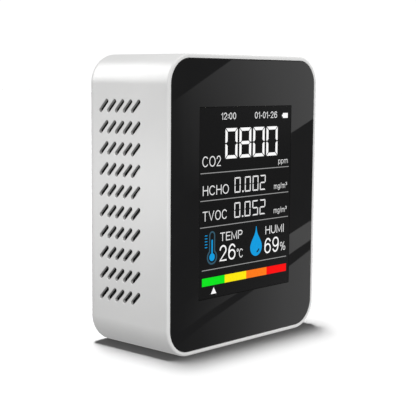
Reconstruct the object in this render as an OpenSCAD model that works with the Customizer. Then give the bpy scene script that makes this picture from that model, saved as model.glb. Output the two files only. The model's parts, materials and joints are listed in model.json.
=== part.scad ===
// Desk-top carbon dioxide monitor: a white moulded case with a gloss black front
// panel, a colour display, slanted air vents in both sides and a screwed rear cover.
// Origin: centre of the base. +Z is up, the display faces -Y, millimetres.

/* [Case] */
// Width of the case
case_w = 70; // [68:1:80]
// Depth of the case, front to back
case_d = 35; // [34:1:42]
// Height of the case
case_h = 90; // [88:1:100]
// Radius of the four corners seen from the front
corner_r = 9; // [8.5:0.5:10.5]
// Rounding of the outer front edge
front_edge_r = 0.6; // [0.3:0.1:0.9]
// Rounding of the outer rear edge
rear_edge_r = 3; // [1.5:0.5:3]
// Thickness of the side walls
wall = 1.8; // [1.4:0.1:2]
// Width of the white rim round the front panel
rim_w = 1.2; // [1:0.1:1.6]

/* [Front panel and display] */
// Thickness of the gloss front panel
panel_t = 1.9; // [1.9:0.05:2]
// Width of the display window
window_w = 43.5; // [42:0.5:44]
// Height of the display window
window_h = 58.2; // [56.2:0.5:58.7]
// Height of the window's centre above the base
window_z = 45.3; // [44.8:0.1:45.8]

/* [Side vents] */
// Rows of slots in each side
vent_rows = 10; // [4:1:10]
// Slots in each row
vent_cols = 5; // [3:1:5]
// Spacing of the slots along a row
vent_step = 3.49; // [3.2:0.01:3.6]
// Spacing of the rows
vent_row_step = 6.41; // [5.5:0.01:6.5]
// Width of one slot
vent_w = 1.35; // [0.8:0.05:1.5]
// Distance a slot runs, both sideways and upwards, between its end centres
vent_run = 2.8; // [2.4:0.1:3.2]
// How far behind the middle of the case the vents are centred
vent_back = 3.1; // [2:0.1:3.5]
// How far above the middle of the case the vents are centred
vent_lift = 0.6; // [0:0.1:1]

/* [Power button and charging port] */
// Diameter of the power button
button_d = 8; // [7:0.5:8.5]
// Travel of the power button
button_travel = 0.5; // [0.3:0.05:0.5]
// Height of the power button above the base
button_z = 28; // [27:0.5:29]
// Height of the charging port above the base
port_z = 15; // [14.5:0.5:16]

/* [Hidden] */

$fn = 64;
cut = 0.5;               // how far a cutting tool runs past the face it cuts
gap = 0.1;               // assembly gap between two fitted pieces

// Heights across the front view
mid_z = case_h / 2;
// Depths are given as "forward" distances f from the middle plane: f = -y
front_f = case_d / 2;
rear_f = -case_d / 2;
panel_f = front_f - panel_t;             // rear face of the panel
adhesive_t = 0.15;
shelf_f1 = panel_f - adhesive_t;         // front face of the shelf behind the panel
shelf_t = 1.8;
shelf_f0 = shelf_f1 - shelf_t;
cover_t = 1.8;
cover_f = rear_f + cover_t;              // inner face of the rear cover
ledge_t = 1.8;
ledge_f = cover_f + ledge_t;             // inner face of the ledge that the cover sits on

// Front outline
pocket_w = case_w - 2 * rim_w;
pocket_h = case_h - 2 * rim_w;
pocket_r = corner_r - rim_w;
// Opening in the shelf for the display tray
shelf_open_w = 50;
shelf_open_h = 64;

// Rear cover outline, just inside the rounded rear edge
cover_margin = rear_edge_r + 0.4;
cover_w = case_w - 2 * cover_margin;
cover_h = case_h - 2 * cover_margin;
cover_r = corner_r - cover_margin;
ledge_w = 2.2;

// Corner bosses for the cover screws and short bosses for the board screws
boss_r = 3.1;
boss_x = cover_w / 2 - 4;
boss_dz = cover_h / 2 - 4;
pilot_r = 0.85;
pilot_len = 9;
board_boss_r = 2.4;
board_boss_x = 27.8;
board_boss_dz = 20;

// Display stack, front to back
film_f1 = front_f - 0.05;
film_t = 0.25;
glass_f1 = film_f1 - film_t;
glass_t = 0.7;
glass_mid_f = glass_f1 - glass_t;
glass_f0 = glass_mid_f - glass_t;
polariser_t = 0.2;
contact_ledge = 2.2;                     // strip of rear glass left bare for the flex
flex_room = 0.7;                         // gap under the rear glass that the flex passes
film_side_gap = 0.1;
glass_z0 = window_z - window_h / 2 + flex_room;
flex_w = 22;
flex_t = 0.15;
flex_z = glass_z0 - 0.15;                // upper face of the flex where it runs back
connector_h = 4;
tray_w = 49.4;
tray_h = 63.4;
tray_f1 = 15.5;
tray_floor_t = 1.2;
tray_wall = 1.45;
diffuser_t = 0.3;
guide_t = 2;
reflector_t = 0.15;
guide_f1 = tray_f1 - 0.25;
guide_f0 = guide_f1 - guide_t;
tray_in_f = guide_f0 - reflector_t;      // inner face of the tray floor
tray_f0 = tray_in_f - tray_floor_t;
tray_pocket_w = tray_w - 2 * tray_wall;
tray_pocket_h = tray_h - 2 * tray_wall;
guide_w = 45.5;
guide_z0 = 17.3;
guide_z1 = 74.2;
guide_mid_z = (guide_z0 + guide_z1) / 2;
led_h = 0.8;
led_strip_t = 0.4;
led_strip_w = 40;
led_tail_w = 4;
peg_r = 0.8;
peg_x = 21;
peg_dz = 26;

// Main board
board_t = 1.6;
board_f1 = 9.6;                          // face towards the display
board_f0 = board_f1 - board_t;           // face that carries the sensors
board_w = 60.6;
board_h = 79;
board_notch = 7.5;
connector_f1 = board_f1 + 1.2;
connector_z0 = flex_z + 0.6;
screw_r = 0.8;
screw_head_r = 1.8;
screw_head_t = 1.2;
screw_hole_r = 1.1;

// Battery, bottom half of the board
battery_w = 47;
battery_h = 33;
battery_t = 6;
battery_z = 25;
tape_t = 0.8;
battery_f1 = board_f0 - tape_t;
battery_f0 = battery_f1 - battery_t;

// Infrared carbon dioxide cell, top half of the board
co2_x = -7.5;
co2_z = 68.5;
co2_board_w = 34;
co2_board_h = 21;
co2_board_t = 1.2;
co2_board_f0 = board_f0 - 4.8;
co2_board_f1 = co2_board_f0 + co2_board_t;
co2_cell_w = 29;
co2_cell_h = 16;
co2_cell_t = 7.2;
co2_cell_f0 = co2_board_f0 - co2_cell_t;
co2_cell_wall = 1;
co2_port_r = 2.6;
co2_port_dx = 7.5;
filter_t = 0.5;
pin_pitch = 2.54;
pin_rows = 5;

// Input and output board behind the rear cover
io_w = 25;
io_h = 25;
io_t = 1.2;
io_f0 = -9.7;                            // face towards the rear cover
io_f1 = io_f0 + io_t;
io_z = (button_z + port_z) / 2;
io_boss_x = 9.6;
io_boss_r = 2.2;
usb_mouth = 0.6;                         // depth of the socket's mouth below the rear face
usb_w = 8.94;
usb_h = 3.26;
usb_skin = 0.3;
usb_f0 = rear_f + usb_mouth;
led_x = 8.4;
light_pipe_r = 1;

// Power switch and button, along the same axis
switch_side = 6;
switch_h = 3.1;
switch_f0 = io_f0 - switch_h;            // rear face of the switch body
switch_well_r = 2.3;
plate_t = 0.25;
plunger_r = 1.7;
plunger_foot_r = 2.1;
plunger_foot_t = 1;
plunger_gap = 0.1;
dome_t = 0.6;                            // room that the flattened dome takes
switch_well = plunger_gap + plunger_foot_t + button_travel + dome_t;
button_f0 = rear_f + 0.2;                // outer face of the button
button_side_gap = 0.15;
flange_t = 0.8;
flange_w = 1;
flange_f0 = cover_f + 0.15;
stem_r = 1.5;
plunger_f0 = flange_f0 + flange_t + button_travel;   // rear tip of the plunger
touch_gap = 0.05;
dish_depth = 0.5;
dish_w = 1.5;

// Battery and harness connectors on the main board
socket_w = 7;
socket_h = 4.5;
socket_t = 5;
battery_socket_x = 24;
io_socket_x = -24.5;
socket_z = 50;
plug_l = 3.4;
plug_z0 = socket_z - socket_h / 2 - plug_l;
plug_f = board_f0 - socket_t / 2;
lead_r = 0.55;
harness_r = 0.4;
lead_sides = 8;
lead_steps = 9;
battery_top = battery_z + battery_h / 2;

// Formaldehyde sensor
hcho_x = 18;
hcho_z = 72;
hcho_r = 6.5;
hcho_h = 8;

// Small parts on the rear face of the main board: places and sizes
chip_z = 50;
mcu_x = 4;
mcu_side = 7;
mcu_t = 1.4;
charger_x = 14.5;
charger_size = [3.9, 4.9, 1.5];
crystal_x = -6;
crystal_size = [5, 3.2, 1.2];
coil_x = 21.5;
coil_z = 58;
coil_side = 5;
coil_t = 2.4;
passive_size = [1, 1.8, 0.6];
passive_count = 10;
passive_step = 3.1;
passive_x = -16;
passive_rows_z = [44.2, 56];
tvoc_x = 13.5;
tvoc_z = 62;
tvoc_side = 3;
tvoc_t = 1.1;
humidity_x = -24.5;
humidity_z = 55.5;
humidity_side = 2.5;
humidity_t = 0.9;

// Symbol on the button
mark_r = 1.9;
mark_w = 0.4;
mark_depth = 0.2;
mark_opening = 70;

// Vents in the rear cover
cover_vent_cols = 9;
cover_vent_rows = 5;
cover_vent_z = 60;

// ---------- helpers ----------

// Children are drawn as seen from the front: x to the right, y up, z forward
module seen_from_front() rotate([90, 0, 0]) children();

module rounded_rect(w, h, r) {
    square([w - 2 * r, h], center = true);
    square([w, h - 2 * r], center = true);
    for (sx = [-1, 1], sy = [-1, 1])
        translate([sx * (w / 2 - r), sy * (h / 2 - r)]) circle(r);
}

// A flat plate from f0 forward to f1, centred on x and z
module plate(w, h, r, f0, f1, x = 0, z = mid_z)
    translate([x, z, f0]) linear_extrude(f1 - f0) rounded_rect(w, h, r);

// A plain rectangular block from f0 forward to f1
module block(w, h, f0, f1, x = 0, z = mid_z)
    translate([x - w / 2, z - h / 2, f0]) cube([w, h, f1 - f0]);

// A round bar from f0 forward to f1
module bar(r, f0, f1, x = 0, z = 0)
    translate([x, z, f0]) cylinder(r = r, h = f1 - f0);

module at_four(dx, dz, z = mid_z)
    for (sx = [-1, 1], sz = [-1, 1]) translate([sx * dx, z + sz * dz, 0]) children();

// Section through the case's edge: front rounding on top, rear rounding below
module edge_section() {
    translate([0, rear_f + rear_edge_r]) square([corner_r, case_d - front_edge_r - rear_edge_r]);
    translate([0, rear_f]) square([corner_r - rear_edge_r, rear_edge_r]);
    translate([0, front_f - front_edge_r]) square([corner_r - front_edge_r, front_edge_r]);
    translate([corner_r - rear_edge_r, rear_f + rear_edge_r]) circle(rear_edge_r);
    translate([corner_r - front_edge_r, front_f - front_edge_r]) circle(front_edge_r);
}

module edge_run(turn, out, length)
    rotate([0, 0, turn]) translate([out, length / 2, 0])
        rotate([90, 0, 0]) linear_extrude(length) edge_section();

// The case's outer form as one solid block
module outer_block() {
    in_w = case_w - 2 * corner_r;
    in_h = case_h - 2 * corner_r;
    translate([0, mid_z, 0]) {
        translate([-in_w / 2, -in_h / 2, rear_f]) cube([in_w, in_h, case_d]);
        for (turn = [0, 180]) edge_run(turn, in_w / 2, in_h);
        for (turn = [90, 270]) edge_run(turn, in_h / 2, in_w);
        for (q = [0 : 3])
            translate([(q == 0 || q == 3 ? 1 : -1) * in_w / 2, (q < 2 ? 1 : -1) * in_h / 2, 0])
                rotate([0, 0, 90 * q]) rotate_extrude(angle = 90) edge_section();
    }
}

// One slanted slot with round ends, centred on the origin
module slot_outline() {
    reach = vent_run * sqrt(2);
    rotate(45) square([reach, vent_w], center = true);
    for (s = [-1, 1]) translate([s * vent_run / 2, s * vent_run / 2]) circle(vent_w / 2);
}

module slot_grid(cols, rows)
    for (c = [0 : cols - 1], r = [0 : rows - 1])
        translate([(c - (cols - 1) / 2) * vent_step, (r - (rows - 1) / 2) * vent_row_step])
            slot_outline();

// A smooth curve's point at t, from its four control points
function bezier(c, t) = pow(1 - t, 3) * c[0] + 3 * t * pow(1 - t, 2) * c[1]
    + 3 * t * t * (1 - t) * c[2] + pow(t, 3) * c[3];
function direction(a, b) = (b - a) / norm(b - a);
// Ring of points round p, square to the direction d
function ring(p, d, r) = let (u = direction([0, 0, 0], cross(d, [1, 0, 0])), v = cross(d, u))
    [for (k = [0 : lead_sides - 1]) let (a = 360 * k / lead_sides) p + r * (cos(a) * u + sin(a) * v)];

// A lead of round section along one smooth curve or several joined ones
module lead(curves, r) {
    path = [for (c = curves, i = [(c == curves[0] ? 0 : 1) : lead_steps]) bezier(c, i / lead_steps)];
    last = len(path) - 1;
    end = curves[len(curves) - 1];
    // The ends are cut square to the curve's own direction, so that they meet a face flush
    directions = concat([direction(curves[0][0], curves[0][1])],
        [for (i = [1 : last - 1]) direction(path[i - 1], path[i + 1])], [direction(end[2], end[3])]);
    points = [for (i = [0 : last]) each ring(path[i], directions[i], r)];
    polyhedron(points, concat(
        [[for (k = [0 : lead_sides - 1]) k]],
        [[for (k = [0 : lead_sides - 1]) last * lead_sides + lead_sides - 1 - k]],
        [for (i = [0 : last - 1], k = [0 : lead_sides - 1])
            let (n = (k + 1) % lead_sides, o = i * lead_sides)
            each [[o + k, o + lead_sides + k, o + n], [o + n, o + lead_sides + k, o + lead_sides + n]]]));
}

// ---------- case and front ----------

module case_shell() difference() {
    union() {
        difference() {
            outer_block();
            // Inside of the case
            plate(case_w - 2 * wall, case_h - 2 * wall, corner_r - wall, ledge_f, shelf_f0);
            // Pocket for the front panel
            plate(pocket_w, pocket_h, pocket_r, shelf_f1, front_f + cut);
            // Opening for the display tray
            block(shelf_open_w, shelf_open_h, shelf_f0 - cut, shelf_f1 + cut, z = window_z);
            // Seat for the rear cover, and the opening inside its ledge
            plate(cover_w + 2 * gap, cover_h + 2 * gap, cover_r + gap, rear_f - cut, cover_f);
            plate(cover_w - 2 * ledge_w, cover_h - 2 * ledge_w, cover_r - ledge_w / 2,
                cover_f - cut, ledge_f + cut);
        }
        at_four(boss_x, boss_dz) bar(boss_r, cover_f, shelf_f0 + cut);
        at_four(board_boss_x, board_boss_dz) bar(board_boss_r, board_f1, shelf_f0 + cut);
    }
    at_four(boss_x, boss_dz) bar(pilot_r, cover_f - cut, cover_f + pilot_len);
    at_four(board_boss_x, board_boss_dz) bar(pilot_r, board_f1 - cut, shelf_f0 + 0.6);
}

// Slots cut straight through both side walls, their upper ends towards the front
module side_vents()
    translate([-case_w / 2 - cut, vent_back, mid_z + vent_lift]) rotate([90, 0, 90])
        mirror([1, 0, 0]) linear_extrude(case_w + 2 * cut) slot_grid(vent_cols, vent_rows);

module main_case() color([0.88, 0.88, 0.87]) difference() {
    seen_from_front() case_shell();
    side_vents();
}

module front_panel() color([0.03, 0.03, 0.035]) seen_from_front() difference() {
    plate(pocket_w - 2 * gap, pocket_h - 2 * gap, pocket_r - gap, panel_f, front_f);
    block(window_w, window_h, panel_f - cut, front_f + cut, z = window_z);
}

module panel_adhesive() color([0.1, 0.1, 0.1]) seen_from_front() difference() {
    plate(pocket_w - 1, pocket_h - 1, pocket_r - 0.5, shelf_f1, panel_f);
    block(shelf_open_w + 0.6, shelf_open_h + 0.6, shelf_f1 - cut, panel_f + cut, z = window_z);
}

// ---------- display ----------

module display_film() color([0.05, 0.05, 0.06]) seen_from_front()
    block(window_w - 2 * film_side_gap, window_h - 2 * film_side_gap, glass_f1, film_f1, z = window_z);

module lcd_front_glass() color([0.1, 0.12, 0.14]) seen_from_front()
    block(window_w - 4 * film_side_gap, window_h - 2 * flex_room - contact_ledge, glass_mid_f, glass_f1,
        z = window_z + contact_ledge / 2);

module lcd_rear_glass() color([0.12, 0.14, 0.16]) seen_from_front()
    block(window_w - 4 * film_side_gap, window_h - 2 * flex_room, glass_f0, glass_mid_f, z = window_z);

module rear_polariser() color([0.2, 0.2, 0.22]) seen_from_front()
    block(window_w - 1, window_h - 3, glass_f0 - polariser_t, glass_f0, z = window_z);

module diffuser_sheet() color([0.95, 0.95, 0.95]) seen_from_front()
    block(guide_w, guide_z1 - guide_z0, guide_f1, guide_f1 + diffuser_t, z = guide_mid_z);

module light_guide() color([0.9, 0.95, 1]) seen_from_front()
    block(guide_w, guide_z1 - guide_z0, guide_f0, guide_f1, z = guide_mid_z);

module reflector_sheet() color([0.97, 0.97, 0.97]) seen_from_front()
    block(guide_w, guide_z1 - guide_z0, tray_in_f, guide_f0, z = guide_mid_z);

// Three lamps on a strip above the light guide, with a tail back to the main board
module backlight_leds() color([0.98, 0.95, 0.8]) seen_from_front() {
    for (i = [-1 : 1])
        block(3, led_h, guide_f0, guide_f1, x = 14 * i, z = guide_z1 + led_h / 2);
    block(led_strip_w, led_strip_t, guide_f0, guide_f1, z = guide_z1 + led_h + led_strip_t / 2);
    block(led_tail_w, led_strip_t, board_f1, guide_f1, z = guide_z1 + led_h + led_strip_t / 2);
}

module display_tray() color([0.93, 0.93, 0.93]) seen_from_front() {
    difference() {
        block(tray_w, tray_h, tray_f0, tray_f1, z = window_z);
        block(tray_pocket_w, tray_pocket_h, tray_in_f, tray_f1 + cut, z = window_z);
        // Slots for the display flex and for the lamp strip's tail
        block(flex_w + 1, 2, tray_f0 - cut, tray_in_f + cut, z = flex_z);
        block(led_tail_w + 1, led_strip_t + 0.4, tray_f0 - cut, tray_in_f + cut,
            z = guide_z1 + led_h + led_strip_t / 2);
    }
    at_four(peg_x, peg_dz, window_z) bar(peg_r, board_f0 + 0.2, tray_f0);
}

// Bonded to the bare strip of rear glass, down round its edge and back to the connector
module display_flex() color([0.75, 0.5, 0.15]) seen_from_front()
    translate([-flex_w / 2, 0, 0]) rotate([90, 0, 90]) linear_extrude(flex_w) polygon([
        [glass_z0 + contact_ledge - 0.4, glass_mid_f],
        [glass_z0 + contact_ledge - 0.4, glass_mid_f + flex_t],
        [flex_z - flex_t, glass_mid_f + flex_t],
        [flex_z - flex_t, connector_f1 - 0.7],
        [connector_z0, connector_f1 - 0.7],
        [connector_z0, connector_f1 - 0.7 + flex_t],
        [flex_z, connector_f1 - 0.7 + flex_t],
        [flex_z, glass_mid_f]]);

module flex_connector() color([0.9, 0.88, 0.8]) seen_from_front()
    block(flex_w + 3, connector_h, board_f1, connector_f1, z = connector_z0 + connector_h / 2);

// ---------- main board and its fixings ----------

module main_board() color([0.05, 0.3, 0.15]) seen_from_front() difference() {
    block(board_w, board_h, board_f0, board_f1);
    // Corner notches that clear the cover screws' bosses
    at_four(board_w / 2, board_h / 2) block(2 * board_notch, 2 * board_notch, board_f0 - cut,
        board_f1 + cut, z = 0);
    at_four(board_boss_x, board_boss_dz) bar(screw_hole_r, board_f0 - cut, board_f1 + cut);
    at_four(peg_x, peg_dz, window_z) bar(peg_r + gap, board_f0 - cut, board_f1 + cut);
}

// A pan-head self-tapping screw whose head bears on the face at f, pointing forward
module tapping_screw(f, reach) difference() {
    union() {
        bar(screw_r, f, f + reach);
        bar(screw_head_r, f - screw_head_t, f);
    }
    for (turn = [0, 90]) rotate([0, 0, turn])
        translate([-1.1, -0.25, f - screw_head_t - cut]) cube([2.2, 0.5, cut + 0.7]);
}

module board_screws() color([0.75, 0.75, 0.77]) seen_from_front()
    at_four(board_boss_x, board_boss_dz) tapping_screw(board_f0, board_t + 3);

// A chip with legs along two or four sides, standing on the rear face of the main board
module chip(side_x, side_z, height, legs, pitch, four_sides, x) translate([x, chip_z, board_f0]) {
    translate([-side_x / 2, -side_z / 2, -height]) cube([side_x, side_z, height - 0.15]);
    for (i = [0 : legs - 1]) {
        step = (i - (legs - 1) / 2) * pitch;
        for (s = [-1, 1]) {
            translate([s * (side_x / 2 + 0.3) - 0.5, step - pitch / 4, -0.4]) cube([1, pitch / 2, 0.4]);
            if (four_sides)
                translate([step - pitch / 4, s * (side_z / 2 + 0.3) - 0.5, -0.4])
                    cube([pitch / 2, 1, 0.4]);
        }
    }
}

module microcontroller() color([0.12, 0.12, 0.13]) seen_from_front()
    chip(mcu_side, mcu_side, mcu_t, 8, 0.8, true, mcu_x);

module crystal() color([0.8, 0.8, 0.82]) seen_from_front()
    plate(crystal_size.x, crystal_size.y, 0.6, board_f0 - crystal_size.z, board_f0,
        x = crystal_x, z = chip_z);

module charger_chip() color([0.12, 0.12, 0.13]) seen_from_front()
    chip(charger_size.x, charger_size.y, charger_size.z, 4, 1.27, false, charger_x);

// Small resistors and capacitors in rows above and below the chips, and the charger's coil
module board_passives() color([0.7, 0.6, 0.45]) seen_from_front() {
    for (i = [0 : passive_count - 1], z = passive_rows_z)
        block(passive_size.x, passive_size.y, board_f0 - passive_size.z, board_f0,
            x = passive_x + passive_step * i, z = z);
    plate(coil_side, coil_side, 1, board_f0 - coil_t, board_f0, x = coil_x, z = coil_z);
}

// ---------- gas, temperature and humidity sensing ----------

module co2_sensor_board() color([0.1, 0.35, 0.2]) seen_from_front()
    block(co2_board_w, co2_board_h, co2_board_f0, co2_board_f1, x = co2_x, z = co2_z);

// Two pin strips that carry the sensor board above the main board
module co2_header() color([0.15, 0.15, 0.15]) seen_from_front()
    for (s = [-1, 1]) {
        x = co2_x + s * (co2_board_w / 2 - 1.4);
        block(2.5, pin_rows * pin_pitch, board_f0 - 2.5, board_f0, x = x, z = co2_z);
        for (i = [0 : pin_rows - 1])
            block(0.64, 0.64, co2_board_f1, board_f0 - 2.5, x = x,
                z = co2_z + (i - (pin_rows - 1) / 2) * pin_pitch);
    }

// Hollow measuring cell, open towards its board, with two gas ports
module co2_chamber() color([0.85, 0.7, 0.35]) seen_from_front() difference() {
    plate(co2_cell_w, co2_cell_h, 2, co2_cell_f0, co2_board_f0, x = co2_x, z = co2_z);
    plate(co2_cell_w - 2 * co2_cell_wall, co2_cell_h - 2 * co2_cell_wall, 1,
        co2_cell_f0 + co2_cell_wall, co2_board_f0 + cut, x = co2_x, z = co2_z);
    for (s = [-1, 1])
        bar(co2_port_r, co2_cell_f0 - cut, co2_cell_f0 + co2_cell_wall + cut,
            x = co2_x + s * co2_port_dx, z = co2_z);
}

module co2_filters() color([0.96, 0.96, 0.96]) seen_from_front()
    for (s = [-1, 1])
        bar(co2_port_r - 0.05, co2_cell_f0 + 0.2, co2_cell_f0 + 0.2 + filter_t,
            x = co2_x + s * co2_port_dx, z = co2_z);

module infrared_lamp() color([0.8, 0.78, 0.6]) seen_from_front()
    bar(1.6, co2_board_f0 - 3.5, co2_board_f0, x = co2_x - 11, z = co2_z);

module infrared_detector() color([0.7, 0.7, 0.72]) seen_from_front() {
    bar(2, co2_board_f0 - 0.6, co2_board_f0, x = co2_x + 11, z = co2_z);
    bar(1.7, co2_board_f0 - 2.8, co2_board_f0 - 0.6, x = co2_x + 11, z = co2_z);
}

module hcho_sensor_can() color([0.82, 0.82, 0.84]) seen_from_front() difference() {
    union() {
        bar(hcho_r + 0.4, board_f0 - 1, board_f0, x = hcho_x, z = hcho_z);
        bar(hcho_r, board_f0 - hcho_h, board_f0 - 1, x = hcho_x, z = hcho_z);
    }
    bar(hcho_r - 2, board_f0 - hcho_h - cut, board_f0 - hcho_h + 0.8, x = hcho_x, z = hcho_z);
}

module hcho_membrane() color([0.95, 0.95, 0.95]) seen_from_front()
    bar(hcho_r - 2.05, board_f0 - hcho_h + 0.4, board_f0 - hcho_h + 0.8, x = hcho_x, z = hcho_z);

module tvoc_sensor() color([0.75, 0.75, 0.77]) seen_from_front() difference() {
    block(tvoc_side, tvoc_side, board_f0 - tvoc_t, board_f0, x = tvoc_x, z = tvoc_z);
    at_four(0.7, 0.7, tvoc_z) bar(0.25, board_f0 - tvoc_t - cut, board_f0 - tvoc_t + 0.4, x = tvoc_x);
}

module humidity_sensor() color([0.15, 0.15, 0.15]) seen_from_front() difference() {
    block(humidity_side, humidity_side, board_f0 - humidity_t, board_f0, x = humidity_x, z = humidity_z);
    bar(0.5, board_f0 - humidity_t - cut, board_f0 - humidity_t + 0.4, x = humidity_x, z = humidity_z);
}

// ---------- battery and its connector ----------

// Pouch cell lying against the board, with rounded long edges
module battery() color([0.75, 0.76, 0.78]) seen_from_front()
    translate([0, battery_z, (battery_f0 + battery_f1) / 2]) rotate([0, 90, 0])
        linear_extrude(battery_w, center = true) rounded_rect(battery_t, battery_h, 1.5);

module battery_tape() color([0.9, 0.9, 0.85]) seen_from_front()
    block(battery_w - 7, battery_h - 7, battery_f1, board_f0, z = battery_z);

module socket_at(x) difference() {
    block(socket_w, socket_h, board_f0 - socket_t, board_f0, x = x, z = socket_z);
    block(socket_w - 1.2, socket_h, board_f0 - socket_t + 0.6, board_f0 - 0.6, x = x, z = socket_z - 1);
}

module plug_at(x) block(socket_w - 1.4, plug_l, board_f0 - socket_t + 0.7, board_f0 - 0.7,
    x = x, z = plug_z0 + plug_l / 2);

module battery_socket() color([0.95, 0.94, 0.9]) seen_from_front() socket_at(battery_socket_x);
module battery_plug() color([0.9, 0.88, 0.82]) seen_from_front() plug_at(battery_socket_x);

module battery_leads() color([0.75, 0.05, 0.05]) seen_from_front()
    for (side = [-1, 1]) {
        x = battery_socket_x + side;
        lead([[[x, plug_z0, plug_f], [x, plug_z0 - 2, plug_f],
            [x - 3, battery_top + 2, plug_f - 1], [x - 3, battery_top, plug_f - 1]]], lead_r);
    }

// ---------- input and output board ----------

module io_board() color([0.05, 0.3, 0.15]) seen_from_front() difference() {
    block(io_w, io_h, io_f0, io_f1, z = io_z);
    for (s = [-1, 1]) bar(screw_hole_r, io_f0 - cut, io_f1 + cut, x = s * io_boss_x, z = io_z);
}

module io_board_screws() color([0.75, 0.75, 0.77]) seen_from_front()
    for (s = [-1, 1])
        translate([s * io_boss_x, io_z, io_f1]) rotate([180, 0, 0]) tapping_screw(0, io_t + 3);

module usb_shell() color([0.78, 0.78, 0.8]) seen_from_front() difference() {
    plate(usb_w, usb_h, usb_h / 2 - 0.03, usb_f0, io_f0, z = port_z);
    plate(usb_w - 2 * usb_skin, usb_h - 2 * usb_skin, usb_h / 2 - usb_skin - 0.03,
        usb_f0 - cut, io_f0 + cut, z = port_z);
}

module usb_tongue() color([0.1, 0.1, 0.1]) seen_from_front() {
    plate(usb_w - 2 * usb_skin - 0.04, usb_h - 2 * usb_skin - 0.04, usb_h / 2 - usb_skin - 0.06,
        io_f0 - 1.5, io_f0, z = port_z);
    block(6.7, 0.7, usb_f0 + 0.7, io_f0 - 1.5, z = port_z);
}

module charge_led() color([0.9, 0.3, 0.2]) seen_from_front()
    block(2, 1.2, io_f0 - 0.7, io_f0, x = led_x, z = port_z);

module light_pipe() color([0.95, 0.95, 0.95]) seen_from_front() {
    bar(light_pipe_r, rear_f, io_f0 - 0.8, x = led_x, z = port_z);
    bar(light_pipe_r + 0.5, cover_f, cover_f + 0.6, x = led_x, z = port_z);
}

module io_socket() color([0.95, 0.94, 0.9]) seen_from_front() socket_at(io_socket_x);
module io_plug() color([0.9, 0.88, 0.82]) seen_from_front() plug_at(io_socket_x);

// Four leads from the plug, over the top of the battery and back to the input board
module io_harness() color([0.1, 0.1, 0.1]) seen_from_front()
    for (i = [0 : 3]) {
        x = io_socket_x + (i - 1.5) * 1.3;
        pad_x = 1.6 * i - 9;
        pad_z = io_z + 10.5;
        over_z = battery_top + 1.1;
        lead([[[x, plug_z0, plug_f], [x, over_z, plug_f], [x, over_z, plug_f - 1.5], [x, over_z, 2]],
            [[x, over_z, 2], [x, over_z, -3], [pad_x, pad_z, -3.5], [pad_x, pad_z, io_f1]]], harness_r);
    }

// ---------- power switch and button ----------

module switch_body() color([0.12, 0.12, 0.12]) seen_from_front() difference() {
    block(switch_side, switch_side, switch_f0, io_f0, z = button_z);
    bar(switch_well_r, switch_f0 - cut, switch_f0 + switch_well, z = button_z);
}

// Snap dome in the floor of the switch, drawn pressed flat so that it clears the plunger
module switch_dome() color([0.8, 0.8, 0.8]) seen_from_front()
    translate([0, button_z, switch_f0 + switch_well]) rotate([180, 0, 0])
        rotate_extrude() polygon([[0, 0.35], [1.1, 0.35], [2.1, 0], [2.1, 0.1], [1.1, 0.45], [0, 0.45]]);

module switch_cover_plate() color([0.8, 0.8, 0.82]) seen_from_front() difference() {
    block(switch_side, switch_side, switch_f0 - plate_t, switch_f0, z = button_z);
    bar(plunger_r + button_side_gap, switch_f0 - plate_t - cut, switch_f0 + cut, z = button_z);
}

module switch_plunger() color([0.2, 0.2, 0.22]) seen_from_front() {
    bar(plunger_r, plunger_f0, switch_f0 + plunger_gap, z = button_z);
    bar(plunger_foot_r, switch_f0 + plunger_gap, switch_f0 + plunger_gap + plunger_foot_t, z = button_z);
}

// Cap with a flange that keeps it behind the cover, and a stem over the plunger
module power_button() color([0.9, 0.9, 0.89]) seen_from_front() translate([0, button_z, 0]) difference() {
    union() {
        bar(button_d / 2, button_f0, flange_f0);
        bar(button_d / 2 + flange_w, flange_f0, flange_f0 + flange_t);
        bar(stem_r, flange_f0 + flange_t, plunger_f0 - touch_gap);
    }
    // Power symbol, an open ring and a bar, sunk into the face
    translate([0, 0, button_f0 - cut]) rotate([0, 0, 90 + mark_opening / 2])
        rotate_extrude(angle = 360 - mark_opening)
            translate([mark_r - mark_w / 2, 0]) square([mark_w, cut + mark_depth]);
    translate([-mark_w / 2, mark_r / 3, button_f0 - cut]) cube([mark_w, mark_r, cut + mark_depth]);
}

// ---------- rear cover ----------

module rear_cover() color([0.86, 0.86, 0.85]) seen_from_front() difference() {
    union() {
        plate(cover_w, cover_h, cover_r, rear_f, cover_f);
        for (s = [-1, 1]) bar(io_boss_r, cover_f - cut, io_f0, x = s * io_boss_x, z = io_z);
    }
    for (s = [-1, 1]) bar(pilot_r, io_f0 - 4.5, io_f0 + cut, x = s * io_boss_x, z = io_z);
    // Button hole at the bottom of a shallow dish
    bar(button_d / 2 + button_side_gap, rear_f - cut, cover_f + cut, z = button_z);
    translate([0, button_z, rear_f - 0.01])
        cylinder(r1 = button_d / 2 + dish_w, r2 = button_d / 2 + 0.4, h = dish_depth);
    // Charging port and light pipe
    plate(usb_w + 0.6, usb_h + 0.6, usb_h / 2 + 0.27, rear_f - cut, cover_f + cut, z = port_z);
    bar(light_pipe_r + 0.05, rear_f - cut, cover_f + cut, x = led_x, z = port_z);
    // Countersunk screw holes
    at_four(boss_x, boss_dz) {
        bar(screw_hole_r, rear_f - cut, cover_f + cut);
        translate([0, 0, rear_f - 0.01]) cylinder(r1 = 2.15, r2 = screw_hole_r, h = 1.06);
    }
    // Air vents behind the sensors
    translate([0, cover_vent_z, rear_f - cut]) linear_extrude(cover_t + 2 * cut)
        slot_grid(cover_vent_cols, cover_vent_rows);
}

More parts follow.
